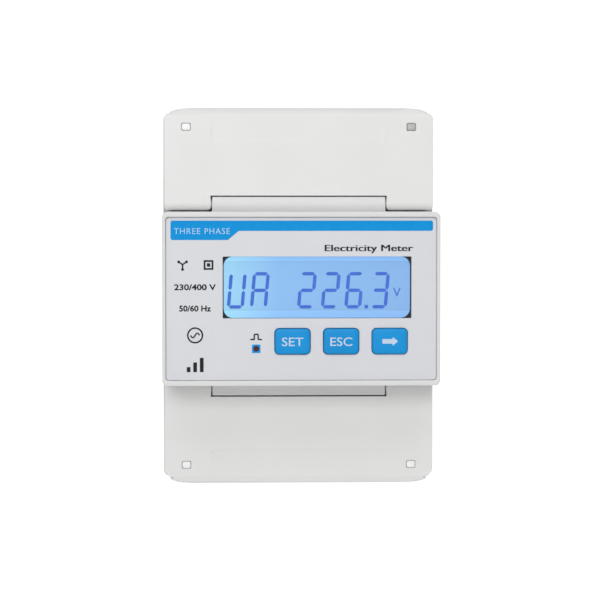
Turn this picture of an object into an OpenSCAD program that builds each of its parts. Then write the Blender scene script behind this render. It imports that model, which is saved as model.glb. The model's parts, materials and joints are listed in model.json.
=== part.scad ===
// Three-phase electricity meter for a 35 mm rail.
// X runs to the right, +Y runs back towards the rail, +Z runs up.
// The origin is the middle of the face that rests on the rail.

/* [Case] */
// Width over the side walls (four rail modules)
case_w = 72; // [60:1:90]
// Height over the two terminal ends
case_h = 100; // [96:1:125]
// Front frame to the rail seat
front_depth = 58; // [57:0.5:72]
// Rail seat to the back plane
back_depth = 7.5; // [7:0.5:9]
// Wall of both housings
wall = 2; // [1.6:0.1:2.4]
// Rail seat to the parting line between the housings
split_depth = 13; // [12:0.5:13.5]
// Height of the crowned terminal ends above the shoulders
crown_h = 1.7; // [1:0.1:2.2]
// Corner radius of the case seen from the front
case_corner_r = 1.5; // [0.8:0.1:2.2]
// Gap between the two housings and the pieces that drop into them
fit_gap = 0.2; // [0.1:0.05:0.3]

/* [Nose] */
// Height of the raised middle part
nose_h = 45; // [44:0.5:54]
// How far the nose stands in front of the terminal covers
nose_step = 18.5; // [15:0.5:19]
// Corner radius of the front frame
nose_corner_r = 1.4; // [0.8:0.1:2]
// Width of the frame round the faceplate
frame_rim = 0.9; // [0.7:0.1:1.2]
// How far the faceplate sits behind the frame
faceplate_sunk = 0.7; // [0.4:0.1:0.9]
// Thickness of the faceplate
faceplate_t = 1.2; // [0.8:0.1:1.6]
// Thickness of the wall behind the faceplate
front_wall_t = 1.6; // [1.2:0.1:2]

/* [Display] */
// Width of the display window
window_w = 48.6; // [40:0.2:52]
// Height of the display window
window_h = 15.7; // [12:0.1:16.5]
// Middle of the window to the right of the middle of the nose
window_x = 4.1; // [2:0.1:5]
// Middle of the window above the middle of the nose
window_z = 2.95; // [2.9:0.05:4]
// Thickness of the display glass
lcd_t = 2; // [1.4:0.1:2.4]

/* [Keys] */
// Width of a key
key_w = 9.1; // [7:0.1:11]
// Height of a key
key_h = 6.6; // [5:0.1:7]
// Corner radius of a key
key_corner_r = 1.1; // [0.6:0.1:1.6]
// Distance from key to key
key_pitch = 12.6; // [12.4:0.1:13.4]
// Middle key to the right of the middle of the nose
key_middle_x = 10.3; // [9:0.1:11]
// Key row below the middle of the nose
key_drop = 11; // [10.9:0.1:12.5]
// Gap round a key
key_gap = 0.15; // [0.1:0.05:0.25]
// Travel of a key
key_travel = 0.5; // [0.3:0.1:0.6]

/* [Terminal covers] */
// Thickness of the covers
cover_t = 1.6; // [1.2:0.1:2]
// Cover front to the terminal deck
deck_drop = 5; // [4.6:0.1:6]
// Gap between a cover and the case
cover_gap = 0.3; // [0.2:0.05:0.4]
// Radius of the hinge pins
hinge_pin_r = 1; // [0.8:0.05:1.2]
// Clearance round the hinge pins
hinge_play = 0.06; // [0.03:0.01:0.09]
// Width of the land between the hinge ears
land_w = 46; // [40:0.5:48]
// Outer corner radius of the upper cover
upper_corner_r = 1.2; // [0.8:0.1:3]
// Outer corner radius of the lower cover
lower_corner_r = 2.5; // [0.8:0.1:3]
// Width of a seal hole
seal_hole_w = 2.4; // [1.6:0.1:3]
// Height of a seal hole
seal_hole_h = 2; // [1.4:0.1:2.4]
// Gap round a seal post in its hole
seal_gap = 0.25; // [0.2:0.05:0.35]

/* [Terminals] */
// Radius of the supply screws
line_screw_r = 2; // [1.6:0.1:2.4]
// Radius of the signal screws
signal_screw_r = 1.5; // [1.2:0.1:1.8]
// Height and width of the room for a supply wire
line_wire = 6; // [5:0.1:6.2]
// Height and width of the room for a signal wire
signal_wire = 3.2; // [2.6:0.1:3.4]
// Screw axis to the crowned end of the case
screw_inset = 8; // [7:0.1:9]
// Clearance round the screw shanks
screw_play = 0.05; // [0.03:0.01:0.08]

/* [Rail clip] */
// Width of the clip
clip_w = 16; // [12:0.5:20]
// Thickness of the clip
clip_t = 2.7; // [2.5:0.1:3]
// Travel that frees the rail
clip_travel = 3.5; // [3:0.1:4]
// Clearance round the clip
clip_play = 0.15; // [0.1:0.05:0.25]

/* [Hidden] */
LINE = 0;
SIGNAL = 1;
LINE_COUNT = 4;
SIGNAL_COUNT = 8;
$fn = 48;
eps = 0.01;
far = 200;

// Colours
case_white = "#e4e4e2";
face_grey = "#dcdcde";
key_blue = "#1e96dc";
board_green = "#1f5c3c";
copper = "#c08a4a";
steel = "#b9bcc0";
dark = "#26282b";

// Case
half_w = case_w / 2;
half_h = case_h / 2;
inner_w = case_w - 2 * wall;
shoulder_z = half_h - crown_h;
crown_x = half_w - 8;
nose_z = nose_h / 2;
front_y = -front_depth;
cover_y = front_y + nose_step;
deck_y = cover_y + deck_drop;
split_y = -split_depth;
block_back_y = split_y - 2.2;
back_y = back_depth;
back_chamfer = 6;

// Nose
faceplate_w = case_w - 2 * (frame_rim + 0.1);
faceplate_h = nose_h - 2 * (frame_rim + 0.55);
faceplate_r = 0.8;
recess_gap = 0.1;
faceplate_y = front_y + faceplate_sunk;
ledge_y = faceplate_y + faceplate_t;
wall_back_y = ledge_y + front_wall_t;
nose_inner_h = nose_h - 2 * wall;
window_gap = 0.15;
window_flange = 1.2;
window_flange_t = 1;

// Boards
board_t = 1.6;
board_w = inner_w - 2;
board_h = nose_inner_h - 2;
display_board_y = wall_back_y + 8.5;
power_board_y = -22;
post_r = 1.8;
post_inset = 2.4;

// Keys
key_names = ["set_key", "escape_key", "next_key"];
stem_names = ["set_switch_stem", "escape_switch_stem", "next_switch_stem"];
key_flange = 0.9;
key_flange_t = 0.8;
key_flange_y = wall_back_y + 0.2;
plunger_r = 1.5;
switch_size = 6;
switch_h = 3.5;
stem_r = 1.7;
stem_h = 2.2;
stem_sunk = 1.5;
stem_play = 0.05;
switch_y = display_board_y - switch_h;

// Pulse lamp
lamp_x = -11.7;
lamp_z = -12.9;
lamp_r = 0.7;
lamp_play = 0.05;

// Terminal covers
knuckle_r = 1.9;
knuckle_w = 3;
hinge_y = cover_y + knuckle_r;
hinge_z = nose_z + cover_gap + knuckle_r;
pin_len = 1.8;
swing_gap = 0.1;
notch_half = land_w / 2 + cover_gap;
notch_z = hinge_z + knuckle_r + swing_gap;
notch_lip = 0.15;
land_top = notch_z - cover_gap;
skirt_y = deck_y - cover_gap;
slope_d = 2.5;
seal_hole_x = half_w - 6.1;
seal_hole_z = half_h - 5.1;
seal_hole_r = 0.4;
seal_post_sunk = 0.5;
patch_sunk = 0.12;
patch_z = half_h - 9.1;

// Terminals, as pairs for the supply and the signal kind
count = [LINE_COUNT, SIGNAL_COUNT];
screw_r = [line_screw_r, signal_screw_r];
head_r = [line_screw_r + 1, signal_screw_r + 0.8];
thread_pitch = [0.7, 0.5];
turns = [6, 5];
clamp_wall = [1.2, 0.8];
bar_t = [1, 0.8];
wire = [line_wire, signal_wire];
clamp_in = [line_wire + 0.6, signal_wire + 0.6];
clamp_d = [7, 5];
head_t = 2.2;
well_depth = 2.9;
well_gap = 0.4;
ledge_t = 1;
clamp_gap = 0.3;
bar_gap = 0.4;
bar_play = 0.15;
seat_y = deck_y + well_depth;
pocket_y = seat_y + ledge_t;
screw_z = half_h - screw_inset;
bar_end_z = nose_z - 5.5;

function travel(kind) = thread_pitch[kind] * turns[kind];
function clamp_y(kind) = pocket_y + 0.2 + travel(kind);
function bar_y(kind) = clamp_y(kind) + clamp_wall[kind] + bar_gap;
function wire_y(kind) = bar_y(kind) + bar_t[kind];
function clamp_back(kind) = wire_y(kind) + wire[kind] + clamp_wall[kind];
function terminal_x(kind, i) = inner_w / count[kind] * (i - (count[kind] + 1) / 2);

// Rail: hook lip above, sprung clip below
rail_half = 17.5;
hook_z = 16.2;
flange_room = 1.25;
seat_half = 15.5;
seat_proud = 0.3;
recess_low = 21;
clip_tip_z = -15.8;
clip_low = shoulder_z - 0.8;
clip_y = 1.15;
ear_w = 2;
handle_top = 36;
handle_back = clip_y + clip_t + 2.1;
spring_wire = 0.4;
spring_r = 0.95;
spring_turns = 7;
spring_spare = 3.7;
spring_z = [28, 28 + clip_travel + spring_turns * spring_wire + spring_spare];
lug_h = 2;
lug_half = 1.6;
tool_slot_w = 5.2;
tool_slot_h = 1.6;
tip_lead = 1.6;

// Case screws
case_screw_x = half_w - 6;
case_screw_z = nose_z + 5.5;
case_screw_r = 1.25;
case_head_r = 2.4;
case_head_y = -7;
case_boss_r = 2.6;
well_boss_r = 4.4;
well_r = case_head_r + 0.4;
case_screw_end = split_y - 6;
boss_end = split_y - 8.5;

// ---------- shapes ----------

// Points of a quarter or longer stretch of an ellipse
function arc(centre, rx, rz, from, to, steps = 6) =
    [for (i = [0:steps]) let (a = from + (to - from) * i / steps)
        [centre[0] + rx * cos(a), centre[1] + rz * sin(a)]];

// A top right quarter turned into a whole outline
function all_round(points) = let (last = len(points) - 1) concat(
    points,
    [for (i = [last:-1:0]) [-points[i][0], points[i][1]]],
    [for (p = points) [-p[0], -p[1]]],
    [for (i = [last:-1:0]) [points[i][0], -points[i][1]]]
);

function rounded(w, h, r) = all_round(arc([w / 2 - r, h / 2 - r], r, r, 0, 90));

// The case seen from the front: square shoulders and a crowned end
function case_quarter(inset, r) = concat(
    arc([half_w - inset - r, shoulder_z - inset - r], r, r, 0, 90),
    arc([crown_x, shoulder_z - inset], half_w - inset - r - crown_x, crown_h, 10, 90, 8)
);

// Runs a flat outline in X and Z from one depth to another
module deep(from_y, to_y) {
    translate([0, to_y, 0]) rotate([90, 0, 0]) linear_extrude(to_y - from_y) children();
}

// Runs a flat outline in Y and Z across X
module across(from_x, to_x) {
    translate([from_x, 0, 0]) rotate([90, 0, 90]) linear_extrude(to_x - from_x) children();
}

module plate(w, h, from_y, to_y, r) {
    deep(from_y, to_y) polygon(rounded(w, h, r));
}

// A box between two corners
module block(low, high) {
    translate(low) cube([high[0] - low[0], high[1] - low[1], high[2] - low[2]]);
}

// A round bar along Y
module bar_along_y(x, z, r, from_y, to_y) {
    translate([x, to_y, z]) rotate([90, 0, 0]) cylinder(h = to_y - from_y, r = r);
}

// A round bar along X
module bar_along_x(y, z, r, from_x, to_x) {
    translate([from_x, y, z]) rotate([0, 90, 0]) cylinder(h = to_x - from_x, r = r);
}

module both_sides() {
    children();
    mirror([1, 0, 0]) children();
}

module both_ends() {
    children();
    mirror([0, 0, 1]) children();
}

// ---------- housings ----------

module front_shell() {
    plate(case_w, nose_h, front_y, block_back_y, nose_corner_r);
    difference() {
        deep(deck_y, split_y) polygon(all_round(case_quarter(0, case_corner_r)));
        block([-inner_w / 2, deck_y - 1, -far], [inner_w / 2, split_y - wall, far]);
        block([-inner_w / 2, deck_y, -half_h + wall], [inner_w / 2, split_y + 1, half_h - wall]);
    }
    both_ends() block([-land_w / 2, cover_y, nose_z - 1], [land_w / 2, deck_y - fit_gap, land_top]);
}

module front_openings() {
    deep(front_y - 1, ledge_y)
        polygon(rounded(faceplate_w + 2 * recess_gap, faceplate_h + 2 * recess_gap, faceplate_r));
    block([-inner_w / 2, wall_back_y, -nose_inner_h / 2], [inner_w / 2, split_y + 1, nose_inner_h / 2]);
    translate([window_x, 0, window_z]) plate(
        window_w + 2 * (window_flange + window_gap), window_h + 2 * (window_flange + window_gap),
        ledge_y - 1, wall_back_y + 1, 0.6);
    for (i = [0:2]) translate([key_x(i), 0, -key_drop])
        plate(key_w + 4 * key_gap, key_h + 4 * key_gap, ledge_y - 1, wall_back_y + 1, key_corner_r);
    bar_along_y(lamp_x, lamp_z, lamp_r + lamp_play, ledge_y - 1, wall_back_y + 1);
    both_ends() both_sides()
        bar_along_x(hinge_y, hinge_z, hinge_pin_r + hinge_play, land_w / 2 - pin_len - 0.3, land_w / 2 + 1);
    bar_slots(LINE, nose_inner_h / 2 - 1, nose_z + 1);
    mirror([0, 0, 1]) bar_slots(SIGNAL, nose_inner_h / 2 - 1, nose_z + 1);
}

module front_posts() {
    both_ends() both_sides() bar_along_y(board_w / 2 - post_inset, board_h / 2 - post_inset,
        post_r, wall_back_y - eps, display_board_y);
}

// Bosses that take the case screws, tied to the side walls
module front_bosses() {
    both_ends() both_sides() difference() {
        union() {
            bar_along_y(case_screw_x, case_screw_z, case_boss_r, boss_end, split_y);
            block([case_screw_x, boss_end, case_screw_z - 1], [half_w - wall / 2, split_y, case_screw_z + 1]);
        }
        bar_along_y(case_screw_x, case_screw_z, case_screw_r, case_screw_end - 0.5, split_y + 1);
    }
}

module front_housing() {
    color(case_white) {
        difference() {
            front_shell();
            front_openings();
        }
        front_posts();
        front_bosses();
    }
}

// The rear tub seen from the side, drawn inset by a wall or at full size
module tub_profile(inset) {
    polygon([
        [split_y - (inset > 0 ? 1 : 0), -half_h - 1 + inset],
        [split_y - (inset > 0 ? 1 : 0), half_h + 1 - inset],
        [back_y - back_chamfer - 1 - 0.4 * inset, half_h + 1 - inset],
        [back_y - inset, half_h - back_chamfer - 0.4 * inset],
        [back_y - inset, -half_h + back_chamfer + 0.4 * inset],
        [back_y - back_chamfer - 1 - 0.4 * inset, -half_h - 1 + inset]
    ]);
}

module tub_inside() {
    difference() {
        intersection() {
            block([-inner_w / 2, split_y - 1, -half_h + wall], [inner_w / 2, back_y, half_h - wall]);
            across(-half_w, half_w) tub_profile(wall);
        }
        block([-half_w, -wall, -recess_low - wall], [half_w, far, hook_z + 3 + wall]);
        block([-clip_w / 2 - clip_play - wall, clip_y - clip_play - wall, -far],
              [clip_w / 2 + clip_play + wall, far, 0]);
        both_ends() both_sides()
            bar_along_y(case_screw_x, case_screw_z, well_boss_r, split_y - 1, back_y + 1);
    }
}

// Room for the rail, its upper flange and the sprung clip
module rail_room() {
    block([-far, -seat_proud, -recess_low], [far, back_y + 1, -seat_half]);
    block([-far, 0, -seat_half - eps], [far, back_y + 1, seat_half + eps]);
    block([-far, -seat_proud, seat_half], [far, back_y + 1, hook_z]);
    block([-far, -seat_proud, hook_z - eps], [far, flange_room, rail_half + 0.4]);
    block([-clip_w / 2 - clip_play, clip_y - clip_play, -far],
          [clip_w / 2 + clip_play, clip_y + clip_t + clip_play, -recess_low + 1]);
    block([-clip_w / 2 + ear_w - clip_play, clip_y, -far],
          [clip_w / 2 - ear_w + clip_play, back_y + 1, -recess_low + 1]);
}

module rear_housing() {
    color(case_white) {
        difference() {
            intersection() {
                deep(split_y, back_y) polygon(all_round(case_quarter(0, case_corner_r)));
                across(-half_w, half_w) tub_profile(0);
            }
            tub_inside();
            rail_room();
            both_ends() both_sides() {
                bar_along_y(case_screw_x, case_screw_z, well_r, case_head_y, back_y + 1);
                bar_along_y(case_screw_x, case_screw_z, case_screw_r + 0.2, split_y - 1, case_head_y + 1);
            }
        }
        both_ends() both_sides() bar_along_y(board_w / 2 - post_inset, board_h / 2 - post_inset,
            post_r, power_board_y + board_t, -wall / 2);
        block([-lug_half, clip_y - clip_play - eps, -spring_z[1] - lug_h],
              [lug_half, clip_y + clip_t - 0.1, -spring_z[1]]);
    }
}

module housing_screws() {
    color(steel) both_ends() both_sides() difference() {
        union() {
            bar_along_y(case_screw_x, case_screw_z, case_head_r, case_head_y, case_head_y + 2);
            bar_along_y(case_screw_x, case_screw_z, case_screw_r, case_screw_end, case_head_y + eps);
        }
        translate([case_screw_x, case_head_y + 2, case_screw_z]) cross_slot(3, 0.7, 1);
    }
}

// Two crossed slots cut to a depth on either side of the origin along Y
module cross_slot(length, width, depth) {
    block([-length / 2, -depth, -width / 2], [length / 2, depth, width / 2]);
    block([-width / 2, -depth, -length / 2], [width / 2, depth, length / 2]);
}

// ---------- front ----------

function key_x(i) = key_middle_x + key_pitch * (i - 1);

module faceplate() {
    color(face_grey) difference() {
        plate(faceplate_w, faceplate_h, faceplate_y, ledge_y, faceplate_r);
        translate([window_x, 0, window_z])
            plate(window_w + 2 * window_gap, window_h + 2 * window_gap, front_y, ledge_y + 1, 0.3);
        for (i = [0:2]) translate([key_x(i), 0, -key_drop])
            plate(key_w + 2 * key_gap, key_h + 2 * key_gap, front_y, ledge_y + 1, key_corner_r + key_gap);
        bar_along_y(lamp_x, lamp_z, lamp_r + lamp_play, front_y, ledge_y + 1);
    }
}

module display_window() {
    color("#bcd8f0", 0.4) translate([window_x, 0, window_z]) {
        plate(window_w, window_h, faceplate_y + 0.1, ledge_y + eps, 0.2);
        plate(window_w + 2 * window_flange, window_h + 2 * window_flange,
            ledge_y, ledge_y + window_flange_t, 0.5);
    }
}

module key(i) {
    color(key_blue) translate([key_x(i), 0, -key_drop]) {
        plate(key_w, key_h, front_y, key_flange_y + eps, key_corner_r);
        plate(key_w + 2 * key_flange, key_h + 2 * key_flange - 0.4,
            key_flange_y, key_flange_y + key_flange_t, 0.6);
        bar_along_y(0, 0, plunger_r, key_flange_y + key_flange_t - eps, switch_y - stem_h);
    }
}

module switch_stem(i) {
    color(dark) bar_along_y(key_x(i), -key_drop, stem_r, switch_y - stem_h, switch_y + stem_sunk);
}

module key_switches() {
    color(dark) for (i = [0:2]) translate([key_x(i), 0, -key_drop]) difference() {
        plate(switch_size, switch_size, switch_y, display_board_y, 0.4);
        bar_along_y(0, 0, stem_r + stem_play, switch_y - 1, switch_y + stem_sunk + key_travel + 0.2);
    }
}

module pulse_light_pipe() {
    color("#8a1420", 0.8) {
        bar_along_y(lamp_x, lamp_z, lamp_r, faceplate_y, wall_back_y + 1);
        bar_along_y(lamp_x, lamp_z, lamp_r + 0.8, wall_back_y, display_board_y - 1.6);
    }
}

module pulse_led() {
    color("#d02030") {
        translate([lamp_x, 0, lamp_z]) plate(2, 1.2, display_board_y - 0.7, display_board_y, 0.2);
        translate([lamp_x, 0, lamp_z]) plate(1.2, 0.9, display_board_y - 1.2, display_board_y - 0.7 + eps, 0.3);
    }
}

// ---------- display stack ----------

lcd_y = ledge_y + window_flange_t + 0.1;
guide_y = lcd_y + lcd_t + 0.1;
guide_t = 3;
lcd_w = window_w + 1.8;
lcd_h = window_h + 1.7;
frame_wall = 0.5;
frame_side = 2.4;

module lcd_glass() {
    color("#a8c8e8", 0.7) translate([window_x, 0, window_z]) plate(lcd_w, lcd_h, lcd_y, lcd_y + lcd_t, 0.2);
}

module backlight_guide() {
    color("#d8ecff", 0.8) translate([window_x, 0, window_z])
        plate(lcd_w, lcd_h, guide_y, guide_y + guide_t, 0.2);
}

module lcd_frame() {
    color("white") translate([window_x, 0, window_z]) difference() {
        plate(lcd_w + 2 * frame_side, lcd_h + 2 * frame_wall + 0.3, wall_back_y + 0.1, display_board_y, 0.4);
        plate(lcd_w + 0.3, lcd_h + 0.3, wall_back_y - 1, guide_y + guide_t, 0.2);
        plate(lcd_w - 4, lcd_h - 4, wall_back_y - 1, display_board_y + 1, 0.2);
    }
}

module backlight_leds() {
    color("#f4f0c0") for (i = [-1:1]) translate([window_x - lcd_w / 2 + 6, 0, window_z + i * 4])
        plate(2.8, 1.6, display_board_y - 1.1, display_board_y, 0.2);
}

// ---------- boards ----------

module display_board() {
    color(board_green) plate(board_w, board_h, display_board_y, display_board_y + board_t, 0.8);
}

module power_board() {
    color(board_green) plate(board_w, board_h, power_board_y, power_board_y + board_t, 0.8);
}

header_pins = 10;
header_pitch = 2.54;
header_half = 1.25;
header_pin_half = 0.32;
header_x = -12;
header_z = -(bar_end_z - header_half - 0.5);

module board_header() {
    strip = 2 * header_half;
    color(dark) for (y = [display_board_y + board_t, power_board_y - strip]) difference() {
        block([header_x - header_pins * header_pitch / 2, y, header_z - header_half],
              [header_x + header_pins * header_pitch / 2, y + strip, header_z + header_half]);
        header_pin_row(header_pin_half + 0.02, y - 1, y + strip + 1);
    }
    color(copper) header_pin_row(header_pin_half, display_board_y + board_t, power_board_y);
}

module header_pin_row(half, from_y, to_y) {
    for (i = [0:header_pins - 1]) let (x = header_x + header_pitch * (i - (header_pins - 1) / 2))
        block([x - half, from_y, header_z - half], [x + half, to_y, header_z + half]);
}

// Chip packages as [x, z, width, height], on the back of each board
chip_t = 1.2;
display_chips = [[-12, 3, 10, 10], [8, 6, 7, 7]];
power_chips = [[-2, 10, 7, 7], [20, 10, 6, 5], [-22, 10, 5, 6]];

module chips(rows, on_y) {
    for (c = rows) translate([c[0], 0, c[1]]) plate(c[2], c[3], on_y, on_y + chip_t, 0.2);
}

module board_chips() {
    color(dark) {
        chips(display_chips, display_board_y + board_t);
        chips(power_chips, power_board_y + board_t);
    }
}

transformer_w = 18;
transformer_h = 15;
transformer_d = 14;
transformer_x = 17;
transformer_z = 2;
core_leg = 4;
coil_gap = 0.2;

module power_transformer() {
    far_y = power_board_y - transformer_d;
    near_y = power_board_y - 1;
    translate([transformer_x, 0, transformer_z]) {
        color(steel) difference() {
            plate(transformer_w, transformer_h, far_y, near_y, 0.4);
            plate(transformer_w - 2 * core_leg, transformer_h + 2, far_y + core_leg, near_y - core_leg, 0.2);
        }
        color(copper) plate(transformer_w - 2 * (core_leg + coil_gap), transformer_h + 3,
            far_y + core_leg + coil_gap, near_y - core_leg - coil_gap, 1);
    }
}

toroid_r = 7.2;
toroid_hole_r = 3;
toroid_t = 7;
toroid_pitch = inner_w * 0.29;
toroid_y = power_board_y + board_t + chip_t + 0.2 + toroid_r;

module current_transformers() {
    color("#d8cfa8") for (i = [-1:1]) translate([i * toroid_pitch, toroid_y, -nose_inner_h / 2 + 4])
        difference() {
            cylinder(h = toroid_t, r = toroid_r);
            translate([0, 0, -1]) cylinder(h = toroid_t + 2, r = toroid_hole_r);
        }
}

capacitor_r = [5, 4];
capacitor_x = [-20, -8];
capacitor_z = 8;
capacitor_len = 15;

module smoothing_capacitors() {
    color("#303a50") for (i = [0:1])
        bar_along_y(capacitor_x[i], capacitor_z, capacitor_r[i], power_board_y - capacitor_len, power_board_y);
}

varistor_r = 4.5;
varistor_half = 3.5;
varistor_t = 3;
varistor_x = [-24, -16, -8];
varistor_z = -4;

// A disc with its sides cut flat, standing on the board
module surge_varistors() {
    middle_y = power_board_y - varistor_r;
    color("#2f6fb0") for (x = varistor_x) intersection() {
        block([x - varistor_half, middle_y - varistor_r, varistor_z - varistor_t / 2],
              [x + varistor_half, power_board_y, varistor_z + varistor_t / 2]);
        translate([x, middle_y, varistor_z - varistor_t]) cylinder(h = 2 * varistor_t, r = varistor_r);
    }
}

// ---------- terminals ----------

module bar_slots(kind, from_z, to_z) {
    for (i = [1:count[kind]]) translate([terminal_x(kind, i), 0, 0])
        block([-wire[kind] / 2 - bar_play, bar_y(kind) - bar_play, from_z],
              [wire[kind] / 2 + bar_play, wire_y(kind) + bar_play, to_z]);
}

// One terminal's screw well, clamp pocket and wire entry
module terminal_room(kind) {
    side = clamp_in[kind] / 2 + clamp_wall[kind] + clamp_gap;
    reach = clamp_d[kind] / 2 + clamp_gap;
    mouth = wire[kind] / 2 + 0.2;
    bar_along_y(0, screw_z, head_r[kind] + well_gap, deck_y - 1, seat_y);
    bar_along_y(0, screw_z, screw_r[kind] + screw_play, deck_y, pocket_y + 1);
    block([-side, pocket_y, screw_z - reach], [side, clamp_back(kind) + clamp_gap, screw_z + reach]);
    block([-mouth, wire_y(kind), screw_z], [mouth, wire_y(kind) + wire[kind], far]);
}

// Posts that fill a cover's seal holes, so that a seal holds the cover to the block
module seal_posts() {
    both_sides() translate([seal_hole_x, 0, seal_hole_z])
        plate(seal_hole_w - 2 * seal_gap, seal_hole_h - 2 * seal_gap,
            cover_y + seal_post_sunk, deck_y + eps, seal_hole_r - seal_gap / 2);
}

module terminal_block(kind) {
    color(case_white) seal_posts();
    color(case_white) difference() {
        intersection() {
            deep(deck_y, block_back_y) polygon(all_round(case_quarter(0, case_corner_r)));
            block([-inner_w / 2 + fit_gap, deck_y, nose_z + fit_gap],
                  [inner_w / 2 - fit_gap, block_back_y, far]);
        }
        for (i = [1:count[kind]]) translate([terminal_x(kind, i), 0, 0]) terminal_room(kind);
        bar_slots(kind, 0, screw_z + clamp_d[kind] / 2 + 0.6);
        both_sides() block([case_screw_x - case_boss_r - fit_gap, boss_end - fit_gap, 0],
                           [far, 0, case_screw_z + case_boss_r + fit_gap]);
    }
}

// The bars run inwards to a leg that stands on the power board
module contact_bars(kind) {
    color(copper) for (i = [1:count[kind]]) translate([terminal_x(kind, i), 0, 0]) {
        block([-wire[kind] / 2, bar_y(kind), bar_end_z], [wire[kind] / 2, wire_y(kind),
            screw_z + clamp_d[kind] / 2 + 0.4]);
        block([-wire[kind] / 2, bar_y(kind), bar_end_z], [wire[kind] / 2, power_board_y, bar_end_z + 1]);
    }
}

// Upper side for the supply kind, lower side for the signal kind
module on_its_side(kind) {
    mirror([0, 0, kind == LINE ? 0 : 1]) children();
}

module terminal_screw(kind, i) {
    color(steel) on_its_side(kind) translate([terminal_x(kind, i), 0, screw_z]) difference() {
        union() {
            bar_along_y(0, 0, head_r[kind], seat_y - head_t, seat_y);
            bar_along_y(0, 0, screw_r[kind], seat_y - eps, bar_y(kind) - 0.3);
        }
        translate([0, seat_y - head_t, 0]) cross_slot(head_r[kind] * 1.3, 0.35 * screw_r[kind], 1.3);
    }
}

// The clamp frame climbs its screw and pulls the wire up against the bar
module wire_clamp(kind, i) {
    w = clamp_in[kind] / 2;
    d = clamp_d[kind] / 2;
    color(copper) on_its_side(kind) translate([terminal_x(kind, i), 0, screw_z]) difference() {
        block([-w - clamp_wall[kind], clamp_y(kind), -d], [w + clamp_wall[kind], clamp_back(kind), d]);
        block([-w, clamp_y(kind) + clamp_wall[kind], -d - 1], [w, clamp_back(kind) - clamp_wall[kind], d + 1]);
        bar_along_y(0, 0, screw_r[kind] + screw_play, clamp_y(kind) - 1, clamp_y(kind) + clamp_wall[kind] + 1);
    }
}

// ---------- covers ----------

// Right half of a cover seen from the front, from the notch round to the crown
function cover_half(inset, corner_r) =
    let (side = half_w - cover_gap - inset, low = hinge_z - knuckle_r)
    concat([[notch_half, notch_z]],
    arc([notch_half + 1, low + 1], 1, 1, 180, 270, 4),
    arc([side - 1, low + 1], 1, 1, 270, 360, 4),
    arc([side - corner_r, shoulder_z - inset - corner_r], corner_r, corner_r, 0, 90),
    arc([crown_x, shoulder_z - inset], half_w - case_corner_r - inset - crown_x, crown_h, 15, 90, 8)
);

function mirrored(points) = concat(points,
    [for (i = [len(points) - 1:-1:0]) [-points[i][0], points[i][1]]]);

module cover_solid(corner_r) {
    intersection() {
        deep(cover_y, skirt_y) polygon(mirrored(cover_half(0, corner_r)));
        across(-half_w, half_w) union() {
            polygon([[cover_y, hinge_z], [cover_y, shoulder_z - 0.2], [cover_y + slope_d, half_h],
                     [skirt_y, half_h], [skirt_y, hinge_z]]);
            translate([hinge_y, hinge_z]) circle(r = knuckle_r);
        }
    }
}

module cover_hollow(corner_r) {
    inner = half_w - cover_gap - cover_t;
    intersection() {
        across(-inner, inner) polygon([
            [cover_y + cover_t, 0], [cover_y + cover_t, shoulder_z - cover_t],
            [cover_y + slope_d + 0.4, half_h - cover_t], [0, half_h - cover_t], [0, 0]]);
        deep(cover_y, 1) polygon(all_round(case_quarter(cover_gap + cover_t, case_corner_r)));
    }
}

// The ear's bearing stub, its pin and the web that ties them to the plate
module cover_knuckle() {
    bar_along_x(hinge_y, hinge_z, knuckle_r, notch_half, notch_half + knuckle_w);
    bar_along_x(hinge_y, hinge_z, hinge_pin_r, land_w / 2 - pin_len, notch_half + eps);
}

// Slanted cut behind the notch edge, so that the edge swings clear of the land
module notch_relief() {
    across(-notch_half, notch_half) polygon([
        [cover_y + notch_lip, notch_z - 1], [cover_y + notch_lip, notch_z],
        [cover_y + cover_t + 1, notch_z + cover_t + 1 - notch_lip], [cover_y + cover_t + 1, notch_z - 1]]);
}

module cover(corner_r) {
    difference() {
        cover_solid(corner_r);
        difference() {
            cover_hollow(corner_r);
            both_sides() cover_knuckle();
        }
        notch_relief();
        both_sides() translate([seal_hole_x, 0, seal_hole_z])
            plate(seal_hole_w, seal_hole_h, cover_y - 1, cover_y + cover_t + 1, seal_hole_r);
        deep(cover_y - 1, cover_y + patch_sunk) polygon(mirrored(concat(
            [[0, patch_z]], arc([notch_half - 1, patch_z + 1], 1, 1, 270, 360, 4), [[notch_half, half_h + 1]])));
    }
    both_sides() bar_along_x(hinge_y, hinge_z, hinge_pin_r, land_w / 2 - pin_len, notch_half + 1);
}

module upper_terminal_cover() {
    color(case_white) cover(upper_corner_r);
}

module lower_terminal_cover() {
    color(case_white) mirror([0, 0, 1]) cover(lower_corner_r);
}

// ---------- rail clip ----------

module rail_clip() {
    color(case_white) difference() {
        union() {
            block([-clip_w / 2, clip_y, -clip_low], [clip_w / 2, clip_y + clip_t, clip_tip_z]);
            block([-clip_w / 2 + ear_w, clip_y, -clip_low], [clip_w / 2 - ear_w, handle_back, -handle_top]);
        }
        across(-far, far) polygon([[clip_y + clip_t / 2, clip_tip_z + 1], [clip_y + clip_t / 2, clip_tip_z],
            [clip_y + clip_t, clip_tip_z - tip_lead], [clip_y + clip_t + 1, clip_tip_z + 1]]);
        block([-lug_half - 0.4, 0, -spring_z[1] - lug_h - clip_play], [lug_half + 0.4, far, -spring_z[0]]);
        block([-tool_slot_w / 2, 0, -clip_low + tool_slot_h - 0.2],
              [tool_slot_w / 2, far, -clip_low + 2 * tool_slot_h - 0.2]);
    }
}

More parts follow.
